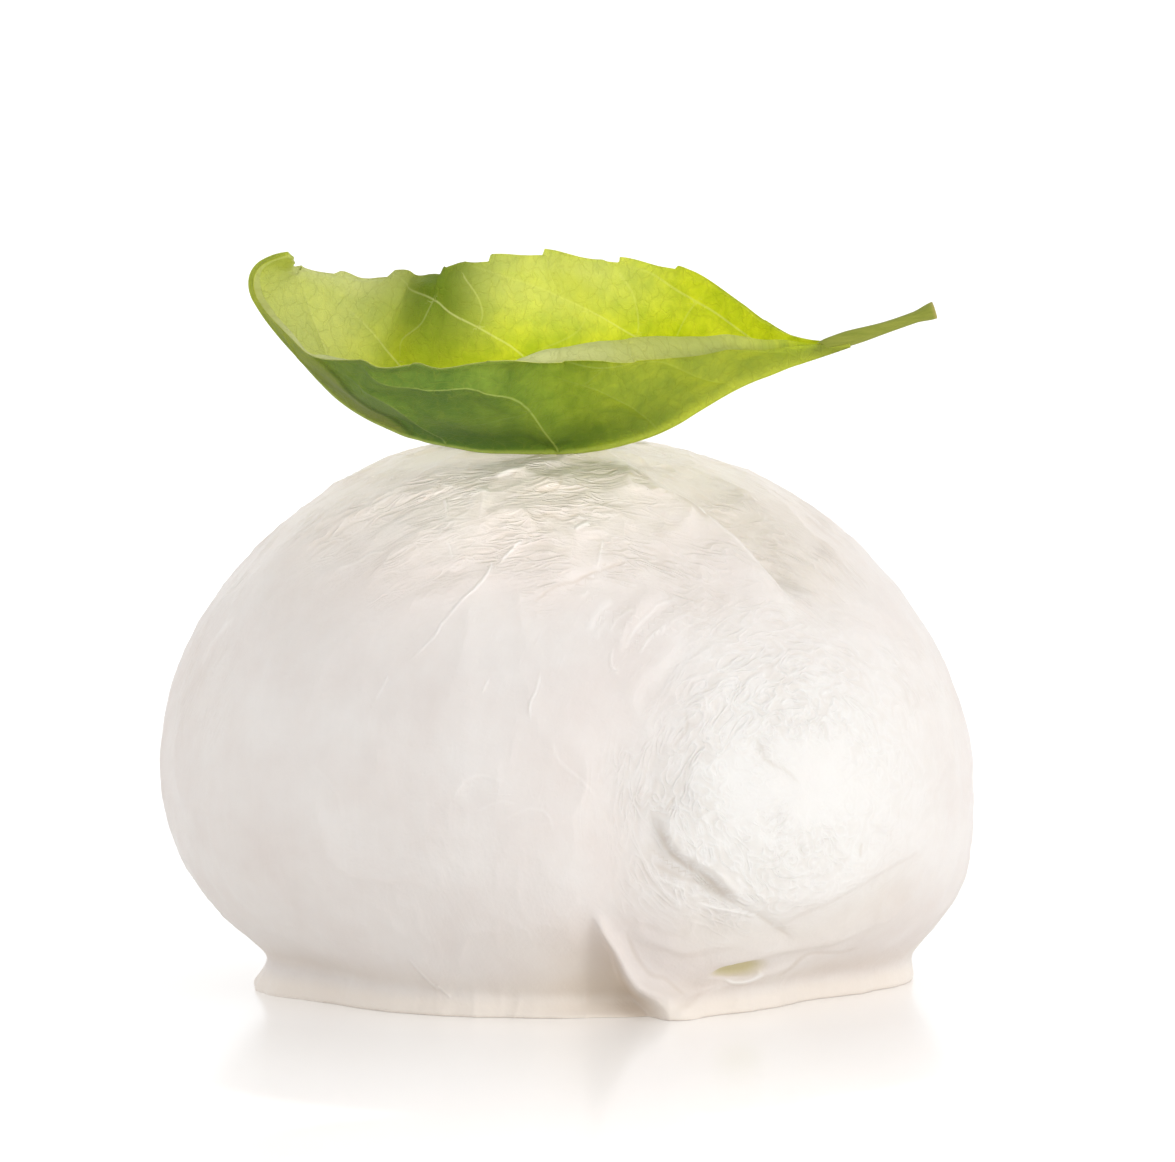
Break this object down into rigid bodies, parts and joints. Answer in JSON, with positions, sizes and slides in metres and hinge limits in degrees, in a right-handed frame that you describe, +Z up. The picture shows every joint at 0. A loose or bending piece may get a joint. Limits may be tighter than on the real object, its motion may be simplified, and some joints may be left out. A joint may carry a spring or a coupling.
{
  "type": "burrata cheese",
  "caption": "Round fresh cream-filled cheese with a slack folded skin and a spread foot, topped by a cupped basil leaf with its stalk.",
  "frame": {"origin": "centre of the object's box at the level of the surface it stands on", "axes": "+Z up from the foot to the crown, +X to the leaf's stalk, -Y the side with the folds"},
  "size_m": [0.08, 0.0758, 0.0735],
  "materials": {
    "cheese": "moist, slightly glossy fresh cheese skin",
    "basil": "satin leaf"
  },
  "bodies": {
    "root": {"cheese": "cheese", "basil_leaf": "basil"}
  },
  "joints": []
}
